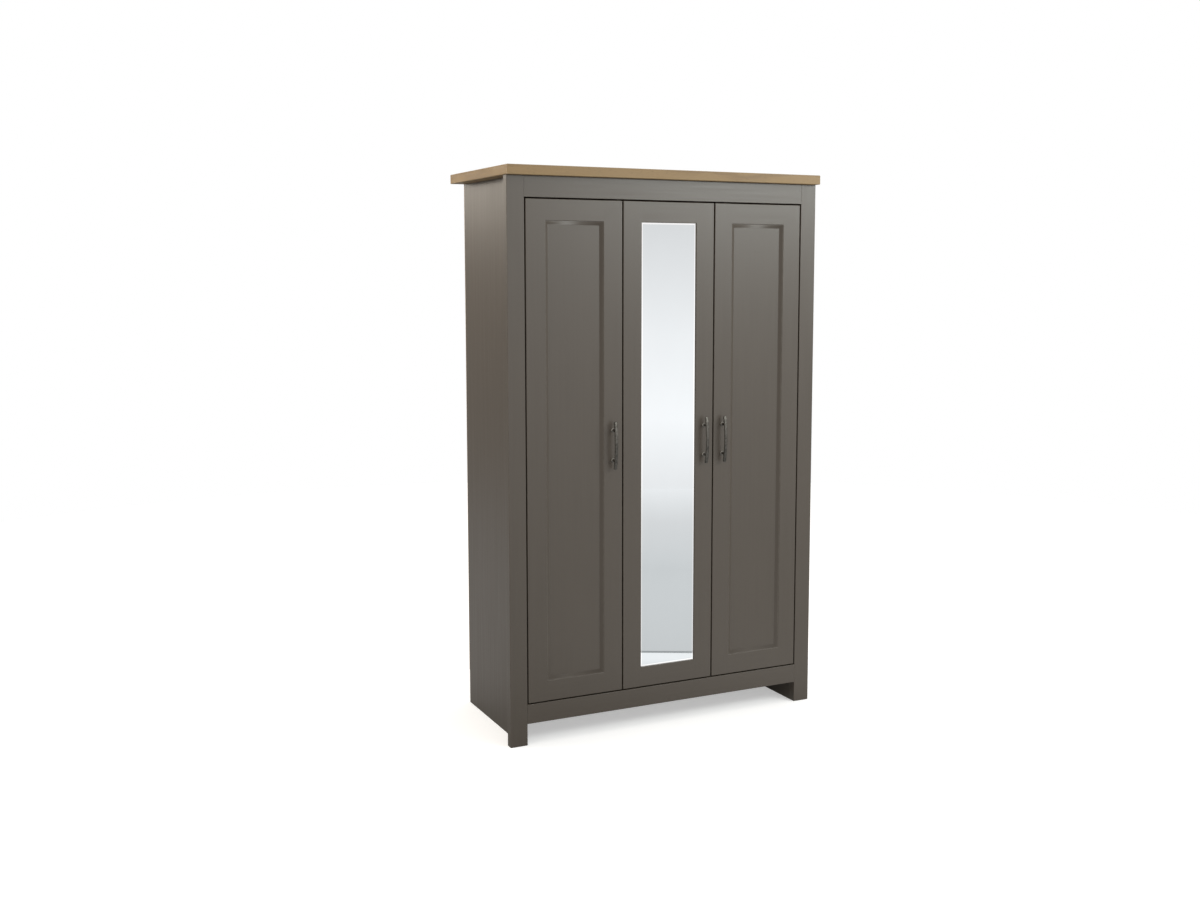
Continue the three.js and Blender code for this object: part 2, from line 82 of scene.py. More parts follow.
# How many sides stand for a round shape
NAIL_SIDES = 12
HOLE_SIDES = 16
PIN_SIDES = 20
SCREW_SIDES = 20
POST_SIDES = 28
CUP_SIDES = 40
CUP_BORE_SIDES = 48
FOOT_SIDES = 40
FLOOR_SIDES = 96

# A door's rail reaches this far into the fine joint at each end
RAIL_REACH = 0.1 * MM

# Mirror: the ground strip round its front, and the margin that the door's frame covers
MIRROR_BEVEL_WIDTH = 5 * MM
MIRROR_BEVEL_DEPTH = 0.05 * MM
MIRROR_MARGIN = 7.7 * MM

# Moulding round a sunk panel: its width, and how much of it closes the joint with the frame
MOULDING_WIDTH = 11 * MM
MOULDING_FIT = 0.025

# Handles
HANDLE_LENGTH = 152 * MM
HANDLE_PROJECTION = 28 * MM
HANDLE_BOW = 8 * MM
HANDLE_BAR_WIDTH = 11 * MM
HANDLE_BAR_THICKNESS = 6 * MM
HANDLE_BAR_STEPS = 28
HANDLE_CORNER_SHARE = 0.45
HANDLE_POST_CENTRES = 96 * MM

# Screws: how far each head's top stands out of what it holds
SCREW_HEAD_RADIUS = 3.6 * MM
SCREW_HEAD_HEIGHT = 1.6 * MM
EAR_SCREW_RISE = 1.3 * MM
WING_SCREW_RISE = 1.2 * MM
ARM_SCREW_RISE = 0.6 * MM

# Hinge cups, with an ear above and below, measured from the middle of the cup's mouth
CUP_RADIUS = 17.5 * MM
CUP_DEPTH = 12 * MM
CUP_SHEET = 1.2 * MM
CUP_RIM_WIDTH = 2.5 * MM
CUP_BORE_CLEARANCE = 0.3 * MM
EAR_CENTRE = 23 * MM
EAR_WIDTH = 14 * MM
EAR_HEIGHT = 12 * MM
EAR_SCREW_CENTRE = 24 * MM

# Hinge arms, measured from the board that carries them, and their mounting plates with wings
ARM_HEIGHT = 15 * MM
ARM_OUTER = 14 * MM
ARM_EDGE = 0.7 * MM
ARM_WEAR = 0.6
ARM_SCREW_SETBACKS = (12 * MM, 30 * MM)
PLATE_SETBACK = 4.5 * MM
PLATE_LENGTH = 36 * MM
PLATE_HEIGHT = 20 * MM
PLATE_THICKNESS = 5 * MM
PLATE_EDGE = 0.8 * MM
WING_LENGTH = 16 * MM
WING_SPAN = 48 * MM
WING_THICKNESS = 2.2 * MM
WING_SCREW_CENTRE = 18 * MM

# The pair of links in each hinge, from behind the arm's front end to inside the cup
LINK_START = 3 * MM
LINK_END_DEPTH = 8 * MM
LINK_WIDTH = 4.8 * MM
LINK_THICKNESS = 2 * MM
LINK_BOTTOMS = (-5 * MM, 3 * MM)
LINK_STEPS = 24

# Sockets of the hanging rail
SOCKET_WALL = 2.7 * MM
SOCKET_BASE = 4 * MM
SOCKET_EDGE = 0.8 * MM

# Shelf pins and the rows of holes they sit in
SHELVES = ("shelf_1", "shelf_2", "shelf_3")
PIN_RADIUS = 2.5 * MM
PIN_LENGTH = 10 * MM
PIN_DEPTH = 2 * MM
PIN_SETBACK = 45 * MM
HOLE_RADIUS = 2.6 * MM
HOLE_DEPTH = 9 * MM
HOLE_SPACING = 32 * MM
HOLES_EACH_WAY = 3

# Nails round the edges of the back panels
BACK_PANELS = ("back_panel_left", "back_panel_right")
NAIL_SETBACK = 7 * MM
NAIL_SPACING = 150 * MM

# Ribbed collars on the centre feet, from the floor up
COLLAR_BOTTOM = 32 * MM
COLLAR_TOP = 45 * MM
RIB_DEPTH_SHARE = 0.08

# Camera: heading is from +Y towards +X, angles are in degrees, lens and sensor in millimetres
CAMERA_PLACE = (-2.033, -3.997, 1.477)
CAMERA_HEADING = 25.97
CAMERA_TILT = -6.1
CAMERA_LENS = 40
CAMERA_SENSOR = 36
CAMERA_SHIFT = (-0.011, -0.03)

# Colours of the lights
COOL_LIGHT = (0.95, 1.0, 0.97)
MILD_LIGHT = (1, 0.94, 0.86)
WARM_LIGHT = (1, 0.93, 0.82)

# The room's brightness goes with a height: 0 is straight down, 0.5 the horizon and 1 straight up.
ROOM_BRIGHTNESS = (
    (0.0, 0.4),
    (0.5, 0.38),
    (0.6, 0.4),
    (0.675, 0.6),
    (0.8, 0.95),
    (1.0, 1.15),
)
ROOM_TINT = (1.0, 0.95, 0.88)
# The lit end of the room is in front of the wardrobe, to its right. A screen stands there.
LIT_HEADING = Vector((0.46, -0.89, 0))
LIT_RIGHT = Vector((0.89, 0.46, 0))
LIT_BRIGHTNESS = 1.12
SCREEN_BRIGHTNESS = (
    (0.4215, 1.2),
    (0.446, 1.40),
    (0.4765, 1.28),
    (0.518, 1.02),
    (0.56, 1.1),
)
# Each comes in between these cosines of the angle to the lit heading.
LIT_SPREAD = (0.3, 0.95)
SCREEN_SPREAD = (0.985, 0.992)

# The floor. For all but camera rays it has a painted glow, which stands in for light falling on it. A near
# band of glow ends in front of the wardrobe, where a short gap in the glow shows as a dark line.
FLOOR_RADIUS = 5
GLOW_BAND_END = 1.01
GLOW_GAP = 0.026
GLOW_GAP_EDGE = 0.004
FLOOR_COLOUR = (0.33, 0.35, 0.37)
FLOOR_ROUGHNESS = 0.8
BACKDROP_COLOUR = (0.75, 0.75, 0.75)
BACKDROP_GLOW = 0.42
# Its painted glow as (distance, brightness) towards the lit end, and the share left to either side. Behind,
# it is dim under the wardrobe as painted shade.
GLOW_BEHIND = ((-0.8, 0.24), (-0.3, 0.05))
GLOW_ON_BAND = ((0.3, 0.05), (0.93, 0.8))
GLOW_BEYOND = ((2.5, 0.37), (FLOOR_RADIUS, 0.85))
GLOW_SHARE = ((0.2, 1.0), (0.9, 0.4))


# ---- Names from the record ---------------------------------------------------------------

BODY_OF = {
    node: body
    for body, nodes in RECORD["behaviour"]["bodies"].items()
    for node in nodes
}
SLOT_OF = {row["node"]: row["material_slot"] for row in RECORD["subparts"]}
DOORS = ("left_door", "middle_door", "right_door")
HINGES = (1, 2, 3)


# ---- Shader helpers ----------------------------------------------------------------------

def new_material(name):
    """A material, its node tree and its surface shader."""
    material = bpy.data.materials.new(name)
    material.use_nodes = True
    tree = material.node_tree
    return material, tree, tree.nodes["Principled BSDF"]


def connect(tree, value, socket):
    """Links a socket to a socket, or sets a plain value on it."""
    if isinstance(value, bpy.types.NodeSocket):
        tree.links.new(value, socket)
    else:
        socket.default_value = value


def node(tree, kind, inputs=None, **settings):
    made = tree.nodes.new(kind)
    for key, value in settings.items():
        setattr(made, key, value)
    for key, value in (inputs or {}).items():
        connect(tree, value, made.inputs[key])
    return made


def grain_vector(tree, along=1.0, across=1.0):
    """The piece's own coordinates: first along its length, then across it, each scaled."""
    coordinates = node(tree, "ShaderNodeAttribute", attribute_name="grain")
    scaled = node(
        tree,
        "ShaderNodeMapping",
        {"Vector": coordinates.outputs["Vector"], "Scale": (along, across, across)},
    )
    return scaled.outputs["Vector"]


def edge_amount(tree):
    """1 on rounded edges and 0 on flat faces."""
    return node(tree, "ShaderNodeAttribute", attribute_name="edge").outputs["Fac"]


def noise(tree, vector, scale, detail=2.0, distortion=0.0):
    settings = {"Vector": vector, "Scale": scale, "Detail": detail, "Distortion": distortion}
    return node(tree, "ShaderNodeTexNoise", settings).outputs["Fac"]


def remap(tree, value, low, high, to_low, to_high):
    """Maps a range of values to another range, and clamps at its ends."""
    settings = {
        "Value": value,
        "From Min": low,
        "From Max": high,
        "To Min": to_low,
        "To Max": to_high,
    }
    return node(tree, "ShaderNodeMapRange", settings).outputs["Result"]


def calculate(tree, operation, first, second):
    inputs = {0: first, 1: second}
    return node(tree, "ShaderNodeMath", inputs, operation=operation).outputs["Value"]


def calculate_vector(tree, operation, first, second=(0, 0, 0)):
    inputs = {0: first, 1: second}
    return node(tree, "ShaderNodeVectorMath", inputs, operation=operation).outputs["Vector"]


def between(tree, place, start, end):
    """Goes from one (place, value) to another, and is level before and after them."""
    return remap(tree, place, start[0], end[0], start[1], end[1])


def blend_colours(tree, factor, first, second):
    """A mix of two colours; each is a socket or an (r, g, b)."""
    mixed = node(tree, "ShaderNodeMix", data_type="RGBA")
    connect(tree, factor, mixed.inputs["Factor"])
    for name, colour in (("A", first), ("B", second)):
        value = colour if isinstance(colour, bpy.types.NodeSocket) else (*colour, 1.0)
        # The colour sockets come after the number and vector sockets of the same name.
        socket = [s for s in mixed.inputs if s.name == name and s.type == "RGBA"][0]
        connect(tree, value, socket)
    return [s for s in mixed.outputs if s.type == "RGBA"][0]


def bump(tree, shader, height, strength, distance, under=None):
    """Adds bump from a height, over another bump if one is given."""
    inputs = {"Height": height, "Strength": strength, "Distance": distance}
    if under is not None:
        inputs["Normal"] = under
    normal = node(tree, "ShaderNodeBump", inputs).outputs["Normal"]
    tree.links.new(normal, shader.inputs["Normal"])
    return normal


# ---- Materials ---------------------------------------------------------------------------

def taupe_paint():
    """Satin spray paint: fine orange peel, faint long streaks, and paler edges, partly rubbed wear and
    partly a painted highlight where light catches the eased edges.
    """
    material, tree, shader = new_material("taupe_paint")
    plain = grain_vector(tree)
    clouds = noise(tree, plain, 5, 3)
    streaks = noise(tree, grain_vector(tree, 3, 140), 1, 3)
    peel = noise(tree, plain, 520, 2)

    deep, light = (0.062, 0.0495, 0.038), (0.069, 0.0555, 0.0425)
    # The edge colour is partly rubbed paint and partly a painted highlight along the eased edges.
    streak, edge = (0.076, 0.063, 0.049), (0.115, 0.1, 0.08)
    tone = blend_colours(tree, clouds, deep, light)
    streaked = blend_colours(tree, remap(tree, streaks, 0.35, 0.75, 0, 0.3), tone, streak)
    # Paler rounded edges: rubbed wear mixed with a painted highlight.
    wear_and_highlight = remap(tree, noise(tree, plain, 60, 4), 0.35, 0.7, 0.15, 0.6)
    worn = calculate(tree, "MULTIPLY", edge_amount(tree), wear_and_highlight)
    connect(tree, blend_colours(tree, worn, streaked, edge), shader.inputs["Base Color"])

    shader.inputs["Specular IOR Level"].default_value = 0.5
    rough = remap(tree, streaks, 0.3, 0.7, 0.34, 0.42)
    connect(tree, rough, shader.inputs["Roughness"])
    under = bump(tree, shader, peel, 0.12, 0.25 * MM)
    bump(tree, shader, streaks, 0.05, 0.1 * MM, under)
    return material


def oak():
    """Oak-effect board: long growth rings, pale rays and short dark pores."""
    material, tree, shader = new_material("oak")
    wander = noise(tree, grain_vector(tree, 2.2, 7), 1, 3)
    stretched = grain_vector(tree, 0.9, 26)
    bent = calculate_vector(tree, "ADD", stretched, wander)
    rings = node(
        tree,
        "ShaderNodeTexWave",
        {"Vector": bent, "Scale": 1.1, "Distortion": 5.0, "Detail": 4.0, "Detail Scale": 0.8},
        bands_direction="Y",
    ).outputs["Fac"]
    fibres = noise(tree, grain_vector(tree, 9, 520), 1, 5)
    pores = noise(tree, grain_vector(tree, 55, 1500), 1, 2)
    patches = noise(tree, grain_vector(tree, 1.5, 9), 1, 2)

    early_wood, pale_wood = (0.204, 0.130, 0.057), (0.260, 0.173, 0.080)
    late_wood, ray = (0.146, 0.088, 0.040), (0.30, 0.208, 0.105)
    pore, edge = (0.08, 0.046, 0.022), (0.33, 0.242, 0.142)
    early = blend_colours(tree, patches, early_wood, pale_wood)
    grown = blend_colours(tree, remap(tree, rings, 0.25, 0.95, 0, 0.55), early, late_wood)
    fibrous = blend_colours(tree, remap(tree, fibres, 0.35, 0.75, 0, 0.4), grown, ray)
    pored = blend_colours(tree, remap(tree, pores, 0.60, 0.72, 0, 0.6), fibrous, pore)
    worn = calculate(tree, "MULTIPLY", edge_amount(tree), 0.45)
    connect(tree, blend_colours(tree, worn, pored, edge), shader.inputs["Base Color"])

    shader.inputs["Specular IOR Level"].default_value = 0.3
    connect(tree, remap(tree, fibres, 0.3, 0.7, 0.42, 0.58), shader.inputs["Roughness"])
    under = bump(tree, shader, pores, 0.25, -0.12 * MM)
    bump(tree, shader, fibres, 0.2, 0.15 * MM, under)
    return material


def inner_board():
    """Melamine-faced board in the frame's colour, with a fine woven texture."""
    material, tree, shader = new_material("inner_board")
    plain = grain_vector(tree)
    threads = noise(tree, grain_vector(tree, 60, 900), 1, 2)
    weft = noise(tree, grain_vector(tree, 900, 60), 1, 2)
    weave = calculate(tree, "ADD", threads, weft)
    clouds = noise(tree, plain, 4, 2)

    deep, light = (0.158, 0.145, 0.128), (0.178, 0.165, 0.146)
    thread, edge = (0.215, 0.2, 0.178), (0.27, 0.25, 0.225)
    tone = blend_colours(tree, clouds, deep, light)
    woven = blend_colours(tree, remap(tree, weave, 0.8, 1.3, 0, 0.5), tone, thread)
    worn = calculate(tree, "MULTIPLY", edge_amount(tree), 0.4)
    connect(tree, blend_colours(tree, worn, woven, edge), shader.inputs["Base Color"])
    connect(tree, remap(tree, weave, 0.7, 1.3, 0.48, 0.62), shader.inputs["Roughness"])
    bump(tree, shader, weave, 0.15, 0.12 * MM)
    return material


def hardboard():
    """Pressed brown fibreboard: flecks, short fibres and soft blotches."""
    material, tree, shader = new_material("hardboard")
    plain = grain_vector(tree)
    flecks = noise(tree, plain, 420, 3)
    fibres = noise(tree, grain_vector(tree, 90, 260), 1, 5, 1.5)
    blotches = noise(tree, plain, 7, 3)

    deep, light = (0.235, 0.155, 0.088), (0.305, 0.21, 0.125)
    fibre, fleck = (0.40, 0.295, 0.19), (0.12, 0.075, 0.04)
    tone = blend_colours(tree, blotches, deep, light)
    fibrous = blend_colours(tree, remap(tree, fibres, 0.4, 0.7, 0, 0.5), tone, fibre)
    flecked = blend_colours(tree, remap(tree, flecks, 0.62, 0.75, 0, 0.55), fibrous, fleck)
    connect(tree, flecked, shader.inputs["Base Color"])
    connect(tree, remap(tree, fibres, 0.3, 0.7, 0.62, 0.85), shader.inputs["Roughness"])
    under = bump(tree, shader, fibres, 0.2, 0.2 * MM)
    bump(tree, shader, flecks, 0.15, 0.1 * MM, under)
    return material


def mirror_glass():
    """Silvered glass with faint wiping marks, and paler on its ground edge."""
    material, tree, shader = new_material("mirror")
    wiped = noise(tree, grain_vector(tree, 4, 11), 1, 4, 1.2)
    specks = noise(tree, grain_vector(tree), 900, 1)
    marks = calculate(
        tree,
        "ADD",
        remap(tree, wiped, 0.45, 0.75, 0.012, 0.035),
        remap(tree, specks, 0.72, 0.8, 0.0, 0.05),
    )
    clean, smeared, ground = (0.655, 0.675, 0.69), (0.675, 0.695, 0.71), (0.88, 0.87, 0.87)
    tint = blend_colours(tree, wiped, clean, smeared)
    edges = edge_amount(tree)
    connect(tree, blend_colours(tree, edges, tint, ground), shader.inputs["Base Color"])
    rough = calculate(tree, "ADD", marks, calculate(tree, "MULTIPLY", edges, 0.03))
    connect(tree, rough, shader.inputs["Roughness"])
    shader.inputs["Metallic"].default_value = 1.0
    return material


def metal(name, colours, edge_colour, rough, brushed, peel=0.1):
    """A plated or cast metal. brushed is how fine its streaks are."""
    material, tree, shader = new_material(name)
    plain = grain_vector(tree)
    mottle = noise(tree, plain, 130, 4, 0.6)
    streaks = noise(tree, grain_vector(tree, brushed / 30, brushed), 1, 3)
    tone = blend_colours(tree, remap(tree, mottle, 0.35, 0.65, 0, 1), *colours)
    # Paler edges: rubbed wear, and on the pewter posts also a painted highlight.
    wear_and_highlight = remap(tree, mottle, 0.3, 0.6, 0.35, 0.9)
    edges = calculate(tree, "MULTIPLY", edge_amount(tree), wear_and_highlight)
    connect(tree, blend_colours(tree, edges, tone, edge_colour), shader.inputs["Base Color"])
    uneven = calculate(tree, "ADD", streaks, mottle)
    connect(tree, remap(tree, uneven, 0.6, 1.4, *rough), shader.inputs["Roughness"])
    shader.inputs["Metallic"].default_value = 1.0
    bump(tree, shader, uneven, peel, 0.15 * MM)
    return material


def pewter():
    """Dark cast metal, paler on its edges and over most of each post: partly rubbed wear, partly a painted
    highlight.
    """
    colours = (0.058, 0.054, 0.048), (0.11, 0.103, 0.092)
    # Edge colour, which covers most of each post: partly rubbed metal, partly a painted highlight.
    edge = (0.36, 0.345, 0.32)
    return metal("pewter", colours, edge, rough=(0.28, 0.44), brushed=400, peel=0.22)


def hinge_steel():
    """Bright zinc-plated steel."""
    colours = (0.50, 0.50, 0.49), (0.64, 0.64, 0.63)
    edge = (0.8, 0.8, 0.79)
    return metal("hinge_steel", colours, edge, rough=(0.2, 0.36), brushed=1800)


def chrome():
    """Polished chrome with fine drawing lines."""
    colours = (0.66, 0.67, 0.68), (0.78, 0.79, 0.8)
    edge = (0.88, 0.88, 0.88)
    return metal("chrome", colours, edge, rough=(0.06, 0.16), brushed=2600, peel=0.03)


def foot_plastic():
    """Black moulded plastic with a fine spark texture."""
    material, tree, shader = new_material("foot_plastic")
    plain = grain_vector(tree)
    spark = noise(tree, plain, 1300, 2)
    scuffs = noise(tree, plain, 90, 4, 1.0)
    black, scuff, edge = (0.014, 0.014, 0.014), (0.04, 0.04, 0.04), (0.07, 0.07, 0.07)
    tone = blend_colours(tree, remap(tree, scuffs, 0.5, 0.75, 0, 0.6), black, scuff)
    worn = calculate(tree, "MULTIPLY", edge_amount(tree), 0.5)
    connect(tree, blend_colours(tree, worn, tone, edge), shader.inputs["Base Color"])
    connect(tree, remap(tree, scuffs, 0.3, 0.7, 0.45, 0.62), shader.inputs["Roughness"])
    bump(tree, shader, spark, 0.3, 0.1 * MM)
    return material


MATERIALS = {
    "oak": oak(),
    "taupe_paint": taupe_paint(),
    "inner_board": inner_board(),
    "hardboard": hardboard(),
    "mirror": mirror_glass(),
    "pewter": pewter(),
    "hinge_steel": hinge_steel(),
    "chrome": chrome(),
    "foot_plastic": foot_plastic(),
}


# ---- Mesh helpers ------------------------------------------------------------------------

def long_axes(bm):
    """The three axes' numbers, the shape's longest first."""
    spans = []
    for axis in range(3):
        values = [v.co[axis] for v in bm.verts]
        spans.append((min(values) - max(values), axis))
    return [axis for _, axis in sorted(spans)]


def write_grain(bm, name, edge_bands=False):
    """Stores each corner's place along, across and through the piece, moved by a random amount.
    With edge_bands, the grain on end faces runs along those faces."""
    along, across, through = long_axes(bm)
    source = random.Random(name)
    offset = Vector(source.uniform(0, 20) for _ in range(3))
    layer = bm.loops.layers.float_vector.new("grain")
    bm.normal_update()
    for face in bm.faces:
        order = (along, across, through)
        if edge_bands and abs(face.normal[along]) > 0.7:
            order = (across, along, through)
        for loop in face.loops:
            loop[layer] = Vector(loop.vert.co[axis] for axis in order) + offset


def mark_edges(bm, rounded_faces):
    """Marks the vertices that lie inside a rounded edge."""
    layer = bm.verts.layers.float.new("edge")
    rounded = set(rounded_faces)
    for vertex in bm.verts:
        vertex[layer] = float(all(face in rounded for face in vertex.link_faces))


def rounded_board(low, high, radius, cuts=(), sharp=None, segments=3):
    """A board between two corners with rounded edges. cuts are (axis, place) planes that divide
    its edges, and sharp(middle of an edge) says which edges stay sharp."""
    low, high = Vector(low), Vector(high)
    bm = bmesh.new()
    bmesh.ops.create_cube(bm, size=1.0)
    bmesh.ops.scale(bm, vec=high - low, verts=bm.verts)
    bmesh.ops.translate(bm, vec=(high + low) / 2, verts=bm.verts)
    for axis, place in cuts:
        everything = [*bm.verts, *bm.edges, *bm.faces]
        bmesh.ops.bisect_plane(
            bm, geom=everything, plane_co=AXES[axis] * place, plane_no=AXES[axis]
        )
    bm.normal_update()
    edges = []
    for edge in bm.edges:
        middle = (edge.verts[0].co + edge.verts[1].co) / 2
        # The cuts leave edges inside flat faces, which have no angle.
        is_corner = edge.calc_face_angle(0) > 1
        if is_corner and not (sharp and sharp(middle)):
            edges.append(edge)
    made = bmesh.ops.bevel(
        bm, geom=edges, offset=radius, segments=segments, profile=0.5, affect="EDGES"
    )
    mark_edges(bm, made["faces"])
    return bm


def lofted(rings, edge_rings=(), closed=False):
    """A skin through rings of points, capped at both ends or closed from the last to the first."""
    bm = bmesh.new()
    layer = bm.verts.layers.float.new("edge")
    loops = []
    for number, ring in enumerate(rings):
        loop = [bm.verts.new(point) for point in ring]
        for vertex in loop:
            vertex[layer] = float(number in edge_rings)
        loops.append(loop)
    count = len(loops[0])
    following = loops[1:] + (loops[:1] if closed else [])
    for lower, upper in zip(loops, following):
        for i in range(count):
            j = (i + 1) % count
            bm.faces.new((lower[i], lower[j], upper[j], upper[i]))
    if not closed:
        bm.faces.new(reversed(loops[0]))
        bm.faces.new(loops[-1])
    bmesh.ops.recalc_face_normals(bm, faces=bm.faces)
    return bm


def circle(radius, height, count):
    angles = [2 * math.pi * i / count for i in range(count)]
    return [Vector((radius * math.cos(a), radius * math.sin(a), height)) for a in angles]


def turned(profile, sides, edge_rings=()):
    """A turned shape round +Z from (radius, height) pairs."""
    return lofted([circle(radius, height, sides) for radius, height in profile], edge_rings)


def turned_in_mm(profile, sides, edge_rings=()):
    return turned([(radius * MM, height * MM) for radius, height in profile], sides, edge_rings)


def moved(bm, place, turn=None):
    """Turns a shape about the origin, if a turn is given, and then moves it."""
    matrix = Matrix.Translation(place) @ (turn.to_4x4() if turn else Matrix())
    bmesh.ops.transform(bm, matrix=matrix, verts=bm.verts)
    return bm


def joined(*shapes):
    """Several shapes as one."""
    whole = bmesh.new()
    for shape in shapes:
        passing = bpy.data.meshes.new("passing")
        shape.to_mesh(passing)
        shape.free()
        whole.from_mesh(passing)
        bpy.data.meshes.remove(passing)
    return whole


def cut_away(bm, cutters):
    """Takes one or more shapes out of another."""
    objects = []
    for shape in (bm, joined(*cutters)):
        mesh = bpy.data.meshes.new("cutting")
        shape.to_mesh(mesh)
        shape.free()
        objects.append(bpy.data.objects.new("cutting", mesh))
        bpy.context.scene.collection.objects.link(objects[-1])
    body, cutter = objects
    modifier = body.modifiers.new("cut", "BOOLEAN")
    modifier.operation = "DIFFERENCE"
    modifier.object = cutter
    modifier.solver = "EXACT"
    result = bmesh.new()
    result.from_mesh(body.evaluated_get(bpy.context.evaluated_depsgraph_get()).to_mesh())
    for used in objects:
        mesh = used.data
        bpy.data.objects.remove(used)
        bpy.data.meshes.remove(mesh)
    return result


def make_object(name, bm, slot, edge_bands=False):
    """Makes an object of a shape, with its grain and its material."""
    write_grain(bm, name, edge_bands)
    mesh = bpy.data.meshes.new(name)
    bm.to_mesh(mesh)
    bm.free()
    mesh.materials.append(MATERIALS[slot])
    made = bpy.data.objects.new(name, mesh)
    bpy.context.scene.collection.objects.link(made)
    return made


def add_piece(name, bm, body, slot, edge_bands=False, smooth=40):
    """Makes a smoothly shaded piece that rides on a CAD body. smooth is the angle, in degrees,
    from which an edge stays sharp."""
    piece = make_object(name, bm, slot, edge_bands)
    piece.data.shade_smooth()
    piece.data.set_sharp_from_angle(angle=math.radians(smooth))
    weighted = piece.modifiers.new("flat faces stay flat", "WEIGHTED_NORMAL")
    # Large faces alone set the shading at their corners.
    weighted.keep_sharp = True
    weighted.weight = 100
    weighted.thresh = MM**2
    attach(piece, body)
    return piece


def stand_for(cad_node, bm, **options):
    """A finished piece in place of one CAD node."""
    piece = add_piece(f"{cad_node}_detailed", bm, BODY_OF[cad_node], SLOT_OF[cad_node], **options)
    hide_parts(cad_node)


# ---- Boards ------------------------------------------------------------------------------

def top_board():
    stand_for("top_board", rounded_board(*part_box("top_board"), TOP_BOARD_EDGE), edge_bands=True)


def rail(name, low, high, radius):
    """A rail, rounded along its long edges and sharp at its ends, where it meets the uprights."""

    def at_end(middle):
        return not low.x + MM < middle.x < high.x - MM

    stand_for(name, rounded_board(low, high, radius, sharp=at_end))


def face_frame():
    for name in ("front_post_left", "front_post_right"):
        stand_for(name, rounded_board(*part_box(name), FACE_FRAME_EDGE))
    for name in ("top_rail", "bottom_rail"):
        rail(name, *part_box(name), FACE_FRAME_EDGE)


def sheet(name):
    """A plain board with barely rounded edges."""
    return rounded_board(*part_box(name), SHEET_EDGE, segments=2)


def carcass_boards():
    names = ["side_panel_right", "bottom_panel", "hat_shelf", "middle_door_backing"]
    names += [*SHELVES, *BACK_PANELS]
    for name in names:
        stand_for(name, sheet(name))
    bored_board("side_panel_left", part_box("side_panel_left")[1].x)
    bored_board("partition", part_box("partition")[0].x)


def pin_places():
    """The (y, z) of the middle of each shelf's pins."""
    places = []
    for name in SHELVES:
        low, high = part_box(name)
        for y in (low.y + PIN_SETBACK, high.y - PIN_SETBACK):
            places.append((y, low.z - PIN_RADIUS))
    return places


def bored_board(name, face_x):
    """A board with rows of holes for shelf pins in one face."""
    bores = []
    for y, z in pin_places():
        for step in range(-HOLES_EACH_WAY, HOLES_EACH_WAY + 1):
            bore = turned([(HOLE_RADIUS, -HOLE_DEPTH), (HOLE_RADIUS, HOLE_DEPTH)], HOLE_SIDES)
            bores.append(moved(bore, (face_x, y, z + step * HOLE_SPACING), TO_RIGHT))
    stand_for(name, cut_away(sheet(name), bores))


def evenly(start, end, spacing):
    """Places from start to end, no more than the spacing apart."""
    count = math.ceil((end - start) / spacing)
    return [start + (end - start) * i / count for i in range(count + 1)]


def back_nails():
    """Nails along all four edges of each back panel, as one piece."""
    profile = [(0.8, -0.3), (2.2, 0.2), (2.2, 0.4), (1.6, 0.7), (0.3, 0.8)]
    shapes = []
    for name in BACK_PANELS:
        low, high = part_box(name)
        left, right = low.x + NAIL_SETBACK, high.x - NAIL_SETBACK
        bottom, top = low.z + NAIL_SETBACK, high.z - NAIL_SETBACK
        places = [(x, z) for x in evenly(left, right, NAIL_SPACING) for z in (bottom, top)]
        heights = evenly(bottom, top, NAIL_SPACING)[1:-1]
        places += [(x, z) for z in heights for x in (left, right)]
        for x, z in places:
            nail = turned_in_mm(profile, NAIL_SIDES, edge_rings=(2, 3))
            shapes.append(moved(nail, (x, high.y, z), TO_BACK))
    add_piece("back_panel_nails", joined(*shapes), "carcass", "hinge_steel")


# ---- Doors -------------------------------------------------------------------------------

def door_stile(name, opening, cup_centres):
    """A stile, rounded along the door's edges and the opening, and sharp where rails meet it."""
    low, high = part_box(name)
    inner_x = high.x if name.endswith("left") else low.x

    def meets_rail(middle):
        beside_rail = not opening[0].z < middle.z < opening[1].z
        at_end = middle.z < low.z + MM or middle.z > high.z - MM
        return abs(middle.x - inner_x) < MM and beside_rail and not at_end

    cuts = [("z", corner.z) for corner in opening]
    stile = rounded_board(low, high, DOOR_EDGE, cuts, meets_rail)
    if cup_centres:
        radius = CUP_RADIUS + CUP_BORE_CLEARANCE
        depth = CUP_DEPTH + CUP_BORE_CLEARANCE
        bores = [
            moved(turned([(radius, -depth), (radius, depth)], CUP_BORE_SIDES), centre, TO_FRONT)
            for centre in cup_centres
        ]
        stile = cut_away(stile, bores)
    stand_for(name, stile)


def door_rail(name):
    """A door's rail, whose ends close the fine joints with the stiles."""
    low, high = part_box(name)
    reach = Vector((RAIL_REACH, 0, 0))
    rail(name, low - reach, high + reach, DOOR_EDGE)


def opening_of(door):
    """The lowest and highest corner of the opening inside a door's frame."""
    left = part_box(f"{door}_stile_left")[1].x
    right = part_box(f"{door}_stile_right")[0].x
    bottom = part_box(f"{door}_rail_bottom")[1].z
    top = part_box(f"{door}_rail_top")[0].z
    return Vector((left, 0, bottom)), Vector((right, 0, top))


def cup_centres_of(door):
    """The middle of each hinge cup's mouth, on the back of the door."""
    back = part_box(f"{door}_stile_left")[1].y
    centres = []
    for number in HINGES:
        low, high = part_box(f"{door}_hinge_cup_{number}")
        centres.append(Vector(((low.x + high.x) / 2, back, (low.z + high.z) / 2)))
    return centres


def upright_rectangle(low, high, inset, y):
    """The corners of a rectangle in a plane across Y, set in from a box's sides."""
    left, right = low.x + inset, high.x - inset
    bottom, top = low.z + inset, high.z - inset
    return [
        Vector((left, y, bottom)),
        Vector((right, y, bottom)),
        Vector((right, y, top)),
        Vector((left, y, top)),
    ]


